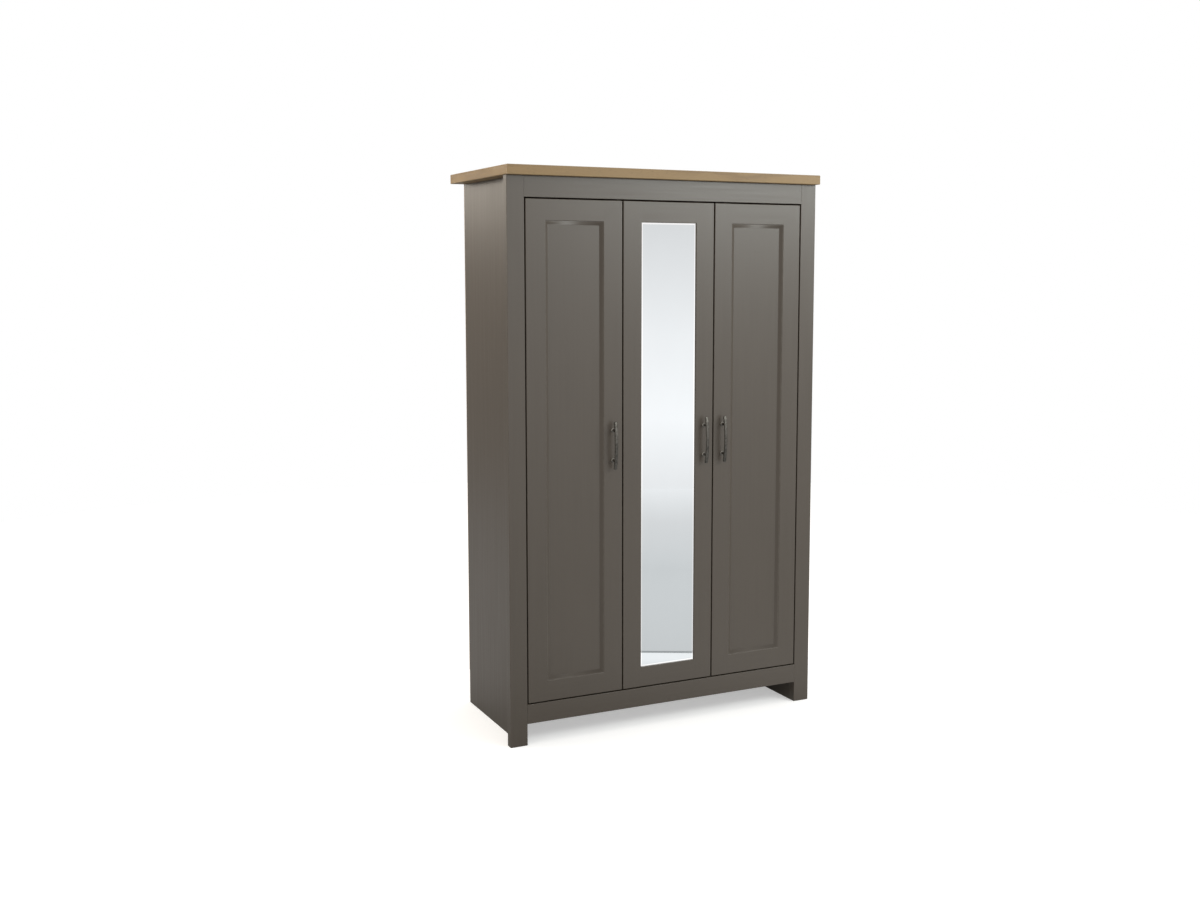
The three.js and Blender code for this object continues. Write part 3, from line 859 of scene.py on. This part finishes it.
def mirror():
    """A sheet of glass whose front edge is ground to a slope."""
    low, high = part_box("mirror")
    slope_start = low.y + MIRROR_BEVEL_DEPTH
    lip = 0.04
    section = [
        (0, high.y),
        (0, slope_start),
        (MIRROR_MARGIN, slope_start),
        (MIRROR_MARGIN + (1 - lip) * MIRROR_BEVEL_WIDTH, low.y + lip * MIRROR_BEVEL_DEPTH),
        (MIRROR_MARGIN + MIRROR_BEVEL_WIDTH, low.y),
    ]
    rings = [upright_rectangle(low, high, inset, y) for inset, y in section]
    stand_for("mirror", lofted(rings, edge_rings=(2, 3)), smooth=0.2)


def moulding(name):
    """A mitred frame with a rounded shoulder, which slopes down to the panel."""
    low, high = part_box(name)
    depth = high.y - low.y
    section = [
        (-MOULDING_FIT, 1.0),
        (-MOULDING_FIT, 0.02),
        (0.04, 0.04),
        (0.12, 0.10),
        (0.22, 0.20),
        (0.34, 0.34),
        (0.88, 0.93),
        (0.96, 0.985),
        (1.04, 1.0),
    ]
    rings = [
        upright_rectangle(low, high, across * MOULDING_WIDTH, low.y + down * depth)
        for across, down in section
    ]
    stand_for(name, lofted(rings, edge_rings=(2, 3), closed=True), smooth=50)


def doors():
    for door in DOORS:
        opening = opening_of(door)
        cups = cup_centres_of(door)
        for side in ("left", "right"):
            name = f"{door}_stile_{side}"
            low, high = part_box(name)
            carries_hinges = low.x < cups[0].x < high.x
            door_stile(name, opening, cups if carries_hinges else None)
        door_rail(f"{door}_rail_top")
        door_rail(f"{door}_rail_bottom")
    for door in ("left_door", "right_door"):
        panel = f"{door}_panel"
        stand_for(panel, sheet(panel))
        moulding(f"{door}_moulding")
    mirror()


# ---- Handles -----------------------------------------------------------------------------

# The bar's outer face lies on an arc of this radius, and the middle of the bar inside it.
BOW_RADIUS = ((HANDLE_LENGTH / 2) ** 2 + HANDLE_BOW**2) / (2 * HANDLE_BOW)
BAR_PATH_RADIUS = BOW_RADIUS - HANDLE_BAR_THICKNESS / 2


def bar_section(middle, outward, width, thickness, corner):
    """One rounded cross-section of the bar, as a ring of points."""
    ring = []
    for quarter, (sx, sy) in enumerate(((1, 1), (-1, 1), (-1, -1), (1, -1))):
        centre_x = sx * (width / 2 - corner)
        centre_y = sy * (thickness / 2 - corner)
        for step in range(4):
            angle = math.radians(90 * quarter + 30 * step)
            across = centre_x + corner * math.cos(angle)
            out = centre_y + corner * math.sin(angle)
            ring.append(middle + AXES["x"] * across + outward * out)
    return ring


def bar_stations():
    """The (angle, closing) of each of the bar's sections. The angle runs along its bow, and the
    closing, 0 to nearly a right angle, rounds its ends off."""
    half = HANDLE_LENGTH / 2 - HANDLE_BAR_THICKNESS / 2
    sweep = math.asin(half / BAR_PATH_RADIUS)
    closing = [math.radians(angle) for angle in (30, 55, 75, 88)]
    start = [(-sweep, -close) for close in reversed(closing)]
    steps = range(HANDLE_BAR_STEPS + 1)
    along = [(-sweep + 2 * sweep * i / HANDLE_BAR_STEPS, 0.0) for i in steps]
    return start + along + [(sweep, close) for close in closing]


def handle_bar():
    """The bowed bar, with its ends rounded off."""
    centre = Vector((0, BOW_RADIUS - HANDLE_PROJECTION, 0))
    rings = []
    for angle, close in bar_stations():
        outward = Vector((0, -math.cos(angle), math.sin(angle)))
        onward = Vector((0, math.sin(angle), math.cos(angle)))
        middle = centre + outward * BAR_PATH_RADIUS
        middle += onward * math.sin(close) * HANDLE_BAR_THICKNESS / 2
        thickness = HANDLE_BAR_THICKNESS * math.cos(close)
        width = HANDLE_BAR_WIDTH - HANDLE_BAR_THICKNESS + thickness
        corner = HANDLE_CORNER_SHARE * thickness
        rings.append(bar_section(middle, outward, width, thickness, corner))
    return lofted(rings)


def handle_post(end):
    """A turned post with a flared foot, a slim waist and a collar under the bar. It is brighter than the bar
    all over: partly rubbed wear, partly a painted highlight."""
    profile = [
        (6.2, 0.0), (6.5, 0.3), (6.5, 1.2), (6.1, 1.8), (4.9, 2.5), (4.1, 4.0), (3.8, 7.0),
        (3.8, 11.0), (4.1, 14.0), (4.8, 15.6), (5.1, 16.6), (5.1, 17.6), (4.7, 18.6), (4.5, 20.5),
    ]
    # Rings 1 to 10 take the paler edge colour: partly wear, partly a painted highlight.
    post = turned_in_mm(profile, POST_SIDES, edge_rings=range(1, 11))
    return moved(post, (0, 0, end * HANDLE_POST_CENTRES / 2), TO_FRONT)


def handles():
    for door in DOORS:
        low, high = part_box(f"{door}_handle")
        place = Vector(((low.x + high.x) / 2, high.y, (low.z + high.z) / 2))
        shape = joined(handle_bar(), handle_post(-1), handle_post(1))
        stand_for(f"{door}_handle", moved(shape, place), smooth=55)


# ---- Hinges ------------------------------------------------------------------------------

def inward_from(door):
    """1 where a door's hinge arms reach towards +X, and -1 where they reach towards -X."""
    return -1 if door == "right_door" else 1


def screw_head():
    """A pan head with a cross recess, its top at z = 0."""
    r = SCREW_HEAD_RADIUS
    profile = [
        (r, -SCREW_HEAD_HEIGHT), (r, -0.9 * MM), (0.85 * r, -0.3 * MM), (0.5 * r, 0), (0.1 * r, 0),
    ]
    corner = Vector((0.62 * r, 0.14 * r, 0))
    down, up = Vector((0, 0, -0.8 * MM)), Vector((0, 0, MM))
    slots = []
    for angle in (0, 90):
        slot = rounded_board(down - corner, up + corner, 0.05 * MM, segments=1)
        slots.append(moved(slot, (0, 0, 0), Matrix.Rotation(math.radians(angle), 3, "Z")))
    return cut_away(turned(profile, SCREW_SIDES), slots)


def hinge_cup(door, number, centre):
    """A pressed cup with a rolled rim and two screwed ears."""
    inner = CUP_RADIUS - CUP_SHEET
    rim = CUP_RADIUS + CUP_RIM_WIDTH
    inner_floor = CUP_SHEET - CUP_DEPTH
    profile = [
        (2 * MM, -CUP_DEPTH), (CUP_RADIUS - MM, -CUP_DEPTH), (CUP_RADIUS, MM - CUP_DEPTH),
        (CUP_RADIUS, 0), (rim - 0.3 * MM, 0), (rim, 0.3 * MM), (rim, 0.9 * MM),
        (rim - 0.4 * MM, CUP_SHEET), (inner + 0.6 * MM, CUP_SHEET), (inner, 0.5 * MM),
        (inner, inner_floor + MM), (inner - MM, inner_floor), (2 * MM, inner_floor),
    ]
    shapes = [turned(profile, CUP_SIDES, edge_rings=(6, 7, 8))]
    ear_corner = Vector((EAR_WIDTH / 2, EAR_HEIGHT / 2, 0))
    thickness = Vector((0, 0, CUP_SHEET))
    for end in (-1, 1):
        middle = Vector((0, end * EAR_CENTRE, 0))
        ear = rounded_board(middle - ear_corner, middle + ear_corner + thickness, SHEET_EDGE)
        screw_place = (0, end * EAR_SCREW_CENTRE, CUP_SHEET + EAR_SCREW_RISE)
        shapes += [ear, moved(screw_head(), screw_place)]
    stand_for(f"{door}_hinge_cup_{number}", moved(joined(*shapes), centre, TO_BACK), smooth=35)


def plate_block(face, inward, front, middle_z, size):
    """A rounded block against a board's face. size is its thickness, length and height."""
    thickness, length, height = size
    near, far = sorted((face, face + inward * thickness))
    low = (near, front, middle_z - height / 2)
    high = (far, front + length, middle_z + height / 2)
    return rounded_board(low, high, PLATE_EDGE)


def arm_bar(face, inward, low, high):
    """The arm itself, which bends out from its plate to the cup."""
    reach = high.x - low.x
    under = PLATE_THICKNESS - MM
    outline = [
        (under, high.y),
        (under, low.y + 10.5 * MM),
        (8 * MM, low.y),
        (reach - 0.5 * MM, low.y),
        (reach, low.y + 0.5 * MM),
        (reach, low.y + 5 * MM),
        (17 * MM, low.y + 12 * MM),
        (14.5 * MM, low.y + 17 * MM),
        (ARM_OUTER, low.y + 22 * MM),
        (ARM_OUTER, high.y - 3 * MM),
        (11 * MM, high.y),
    ]
    middle_z = (low.z + high.z) / 2
    rings = [
        [Vector((face + inward * x, y, z)) for x, y in outline]
        for z in (middle_z - ARM_HEIGHT / 2, middle_z + ARM_HEIGHT / 2)
    ]
    arm = lofted(rings)
    made = bmesh.ops.bevel(
        arm, geom=arm.edges[:], offset=ARM_EDGE, segments=2, profile=0.5, affect="EDGES"
    )
    layer = arm.verts.layers.float["edge"]
    for rounded in made["faces"]:
        for vertex in rounded.verts:
            vertex[layer] = ARM_WEAR
    return arm


def hinge_arm(door, number):
    """A mounting plate with two wings, the arm that clips on it, and their screws."""
    name = f"{door}_hinge_arm_{number}"
    low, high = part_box(name)
    inward = inward_from(door)
    face = low.x if inward > 0 else high.x
    middle_z = (low.z + high.z) / 2
    plate_front = low.y + PLATE_SETBACK
    wing_y = plate_front + PLATE_LENGTH / 2
    wing_front = wing_y - WING_LENGTH / 2
    plate_size = (PLATE_THICKNESS, PLATE_LENGTH, PLATE_HEIGHT)
    wing_size = (WING_THICKNESS, WING_LENGTH, WING_SPAN)
    shapes = [
        plate_block(face, inward, plate_front, middle_z, plate_size),
        plate_block(face, inward, wing_front, middle_z, wing_size),
        arm_bar(face, inward, low, high),
    ]
    on_arm = face + inward * (ARM_OUTER + ARM_SCREW_RISE)
    on_wing = face + inward * (WING_THICKNESS + WING_SCREW_RISE)
    screw_places = [(on_arm, high.y - setback, middle_z) for setback in ARM_SCREW_SETBACKS]
    screw_places += [
        (on_wing, wing_y, middle_z - WING_SCREW_CENTRE),
        (on_wing, wing_y, middle_z + WING_SCREW_CENTRE),
    ]
    outward = Matrix.Rotation(math.radians(90 * inward), 3, "Y")
    shapes += [moved(screw_head(), place, outward) for place in screw_places]
    stand_for(name, joined(*shapes), smooth=35)


def hinge_link(door, number, centre):
    """The pair of links between the arm and the cup, which swing out of the cup as it opens."""
    arm_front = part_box(f"{door}_hinge_arm_{number}")[0].y
    start_x = centre.x + inward_from(door) * LINK_START
    start = Vector((start_x, arm_front + LINK_START, centre.z))
    end = Vector((centre.x, centre.y - LINK_END_DEPTH, centre.z))
    across = Vector((LINK_WIDTH / 2, 0, 0))
    shapes = []
    for bottom in LINK_BOTTOMS:
        low = Vector((0, 0, bottom))
        high = Vector((0, 0, bottom + LINK_THICKNESS))
        rings = []
        for step in range(LINK_STEPS + 1):
            middle = start.lerp(end, step / LINK_STEPS)
            corners = (low - across, low + across, high + across, high - across)
            rings.append([middle + corner for corner in corners])
        shapes.append(lofted(rings))
    link = make_object(f"{door}_hinge_link_{number}", joined(*shapes), "hinge_steel")
    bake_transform(link, "carcass", door, start=start, end=end)


def hinges():
    for door in DOORS:
        for number, centre in zip(HINGES, cup_centres_of(door)):
            hinge_cup(door, number, centre)
            hinge_arm(door, number)
            hinge_link(door, number, centre)


# ---- Fittings ----------------------------------------------------------------------------

def oval(centre, length, width, count=10):
    """An upright oval ring of points in a plane across X."""
    radius = width / 2
    straight = length / 2 - radius
    ring = []
    for half, sign in ((0, 1), (1, -1)):
        for step in range(count + 1):
            angle = math.pi * (half + step / count)
            y = radius * math.cos(angle)
            z = radius * math.sin(angle) + sign * straight
            ring.append(Vector(centre) + Vector((0, y, z)))
    return ring


def hanging_rail():
    low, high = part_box("hanging_rail")
    centre_y, centre_z = (low.y + high.y) / 2, (low.z + high.z) / 2
    tall, wide = high.z - low.z, high.y - low.y
    edge = 0.6 * MM
    rings = []
    for x, inset in ((low.x, edge), (low.x + edge, 0), (high.x - edge, 0), (high.x, edge)):
        rings.append(oval((x, centre_y, centre_z), tall - 2 * inset, wide - 2 * inset))
    stand_for("hanging_rail", lofted(rings), smooth=50)


def rail_sockets():
    """Oval sockets, each open to the rail."""
    for side, inward in (("left", 1), ("right", -1)):
        name = f"rail_socket_{side}"
        low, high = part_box(name)
        face = low.x if inward > 0 else high.x
        centre_y, centre_z = (low.y + high.y) / 2, (low.z + high.z) / 2
        tall, wide = high.z - low.z, high.y - low.y
        depth = high.x - low.x
        sections = [
            (0, 0),
            (depth - SOCKET_EDGE, 0),
            (depth, SOCKET_EDGE),
            (depth, SOCKET_WALL),
            (SOCKET_BASE, SOCKET_WALL),
        ]
        rings = [
            oval((face + inward * x, centre_y, centre_z), tall - 2 * inset, wide - 2 * inset)
            for x, inset in sections
        ]
        stand_for(name, lofted(rings, edge_rings=(2,)), smooth=50)


def centre_feet():
    """Feet with a ribbed adjusting collar."""
    for name in ("centre_foot_front", "centre_foot_rear"):
        low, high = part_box(name)
        height = high.z / MM
        profile = [
            (18.5, 0), (20, 1.2), (20, 4), (18, 5.6), (10, 8.5), (9, 10), (9, 30), (13, 32),
            (13.8, 33), (13.8, 44), (13, 45), (9, 47), (9, height - 7), (20, height - 3.6),
            (22, height - 3), (22, height),
        ]
        foot = turned_in_mm(profile, FOOT_SIDES, edge_rings=(2, 3, 8, 9, 13, 14))
        for vertex in foot.verts:
            on_collar = COLLAR_BOTTOM < vertex.co.z < COLLAR_TOP
            side = round(math.atan2(vertex.co.y, vertex.co.x) / (2 * math.pi / FOOT_SIDES))
            if on_collar and side % 2:
                vertex.co.x *= 1 - RIB_DEPTH_SHARE
                vertex.co.y *= 1 - RIB_DEPTH_SHARE
        place = ((low.x + high.x) / 2, (low.y + high.y) / 2, 0)
        stand_for(name, moved(foot, place), smooth=40)


def shelf_pins():
    """Pins under each shelf's corners, as one piece."""
    tip = PIN_RADIUS - 0.3 * MM
    slope = 0.4 * MM
    profile = [
        (tip, 0),
        (PIN_RADIUS, slope),
        (PIN_RADIUS, PIN_LENGTH - slope),
        (tip, PIN_LENGTH),
    ]
    low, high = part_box(SHELVES[0])
    shapes = []
    for y, z in pin_places():
        for x in (low.x - PIN_DEPTH, high.x + PIN_DEPTH - PIN_LENGTH):
            pin = turned(profile, PIN_SIDES, edge_rings=(1, 2))
            shapes.append(moved(pin, (x, y, z), TO_RIGHT))
    add_piece("shelf_pins", joined(*shapes), "carcass", "hinge_steel")


# ---- Studio ------------------------------------------------------------------------------

def dot_product(tree, first, second):
    inputs = {0: first, 1: second}
    return node(tree, "ShaderNodeVectorMath", inputs, operation="DOT_PRODUCT").outputs["Value"]


def floor_glow(tree, along, rightwards):
    """The floor's painted glow, which stands in for light falling on it: dim under the wardrobe as painted
    shade, bright at the front end of the near band, even beyond it and brighter again far away. It falls off
    to both sides."""
    behind = between(tree, along, *GLOW_BEHIND)
    on_sheet = between(tree, along, *GLOW_ON_BAND)
    band_glow = calculate(tree, "MAXIMUM", behind, on_sheet)
    beyond = between(tree, along, *GLOW_BEYOND)
    beyond_start = GLOW_BAND_END + GLOW_GAP
    # A short gap in the painted glow, which shows as a dark line.
    before_end = between(tree, along, (GLOW_BAND_END, 1), (GLOW_BAND_END + GLOW_GAP_EDGE, 0))
    past_gap = between(tree, along, (beyond_start, 0), (beyond_start + GLOW_GAP_EDGE, 1))
    near = calculate(tree, "MULTIPLY", band_glow, before_end)
    far = calculate(tree, "MULTIPLY", beyond, past_gap)
    glow = calculate(tree, "ADD", near, far)
    sideways = calculate(tree, "ABSOLUTE", rightwards, 0)
    return calculate(tree, "MULTIPLY", glow, between(tree, sideways, *GLOW_SHARE))


def brightness_ramp(tree, place, levels):
    """A grey that follows (place, brightness) levels, with places from 0 to 1."""
    ramp = node(tree, "ShaderNodeValToRGB", {"Fac": place})
    stops = ramp.color_ramp.elements
    while len(stops) < len(levels):
        stops.new(0.5)
    brightest = max(level for _, level in levels)
    for stop, (position, level) in zip(stops, levels):
        stop.position = position
        stop.color = (level / brightest, level / brightest, level / brightest, 1)
    return calculate(tree, "MULTIPLY", ramp.outputs["Color"], brightest)


def studio_floor():
    """A pale round floor. Other surfaces see it with a painted glow that is lighter towards the lit end."""
    bm = bmesh.new()
    bmesh.ops.create_circle(bm, cap_ends=True, radius=FLOOR_RADIUS, segments=FLOOR_SIDES)
    mesh = bpy.data.meshes.new("studio_floor")
    bm.to_mesh(mesh)
    bm.free()
    floor = bpy.data.objects.new("studio_floor", mesh)
    bpy.context.scene.collection.objects.link(floor)
    material, tree, shader = new_material("studio_floor")
    place = node(tree, "ShaderNodeTexCoord").outputs["Object"]
    along = dot_product(tree, place, LIT_HEADING)
    rightwards = dot_product(tree, place, LIT_RIGHT)
    # Painted light: the glow stands in for light falling on the floor, and its dim part for the wardrobe's
    # shade.
    glow = floor_glow(tree, along, rightwards)
    backdrop = node(tree, "ShaderNodeLightPath").outputs["Is Camera Ray"]
    shade = blend_colours(tree, backdrop, FLOOR_COLOUR, BACKDROP_COLOUR)
    connect(tree, shade, shader.inputs["Base Color"])
    shader.inputs["Emission Color"].default_value = (1, 1, 1, 1)
    strength = remap(tree, backdrop, 0, 1, glow, BACKDROP_GLOW)
    connect(tree, strength, shader.inputs["Emission Strength"])
    shader.inputs["Roughness"].default_value = FLOOR_ROUGHNESS
    mesh.materials.append(material)


def studio_world():
    """A white backdrop, and a room that lights the scene: bright above, and lit at one end."""
    world = bpy.data.worlds.new("studio")
    bpy.context.scene.world = world
    world.use_nodes = True
    tree = world.node_tree
    direction = node(tree, "ShaderNodeTexCoord").outputs["Generated"]
    sine = node(tree, "ShaderNodeSeparateXYZ", {"Vector": direction}).outputs["Z"]
    height = remap(tree, sine, -1, 1, 0, 1)
    level = calculate_vector(tree, "MULTIPLY", direction, (1, 1, 0))
    facing = dot_product(tree, calculate_vector(tree, "NORMALIZE", level), LIT_HEADING)
    room = calculate_vector(
        tree, "MULTIPLY", brightness_ramp(tree, height, ROOM_BRIGHTNESS), ROOM_TINT
    )
    screen = brightness_ramp(tree, height, SCREEN_BRIGHTNESS)
    lit_end = [LIT_BRIGHTNESS] * 3
    lit = blend_colours(tree, remap(tree, facing, *LIT_SPREAD, 0, 1), room, lit_end)
    lit = blend_colours(tree, remap(tree, facing, *SCREEN_SPREAD, 0, 1), lit, screen)
    backdrop = node(tree, "ShaderNodeLightPath").outputs["Is Camera Ray"]
    seen = blend_colours(tree, backdrop, lit, (1.0, 1.0, 1.0))
    connect(tree, seen, tree.nodes["Background"].inputs["Color"])


def soft_light(name, place, target, size, watts, colour):
    """A rectangular area light that points at a target. size is its width and height."""
    data = bpy.data.lights.new(name, "AREA")
    data.shape = "RECTANGLE"
    data.size, data.size_y = size
    data.energy = watts
    data.color = colour
    light = bpy.data.objects.new(name, data)
    light.location = place
    towards = Vector(target) - Vector(place)
    light.rotation_euler = towards.to_track_quat("-Z", "Y").to_euler()
    bpy.context.scene.collection.objects.link(light)


def studio_lights():
    soft_light(
        "front",
        place=(1.95, -2.6, 2.25),
        target=(0.2, -0.26, 1.65),
        size=(2.1, 0.6),
        watts=51,
        colour=COOL_LIGHT,
    )
    soft_light(
        "fill",
        place=(-3.3, -1.5, 0.9),
        target=(-0.3, -0.24, 0.6),
        size=(1.5, 1.5),
        watts=10,
        colour=MILD_LIGHT,
    )
    soft_light(
        "left",
        place=(-2.0, 0.5, 2.15),
        target=(-0.53, 0.0, 1.7),
        size=(0.6, 0.4),
        watts=17,
        colour=WARM_LIGHT,
    )
    soft_light(
        "back_left",
        place=(-1.95, 4.0, 2.25),
        target=(-0.5, 0.0, 1.6),
        size=(1.2, 0.8),
        watts=12,
        colour=WARM_LIGHT,
    )


def studio_camera():
    data = bpy.data.cameras.new("camera")
    data.sensor_width = CAMERA_SENSOR
    data.lens = CAMERA_LENS
    data.shift_x, data.shift_y = CAMERA_SHIFT
    camera = bpy.data.objects.new("camera", data)
    heading, tilt = math.radians(CAMERA_HEADING), math.radians(CAMERA_TILT)
    direction = Vector((
        math.sin(heading) * math.cos(tilt),
        math.cos(heading) * math.cos(tilt),
        math.sin(tilt),
    ))
    camera.location = CAMERA_PLACE
    camera.rotation_euler = direction.to_track_quat("-Z", "Y").to_euler()
    bpy.context.scene.collection.objects.link(camera)
    bpy.context.scene.camera = camera


# ---- The whole scene ---------------------------------------------------------------------

top_board()
face_frame()
carcass_boards()
doors()
handles()
hinges()
hanging_rail()
rail_sockets()
centre_feet()
shelf_pins()
back_nails()
studio_floor()
studio_world()
studio_lights()
studio_camera()
bpy.context.scene.view_settings.view_transform = "Standard"
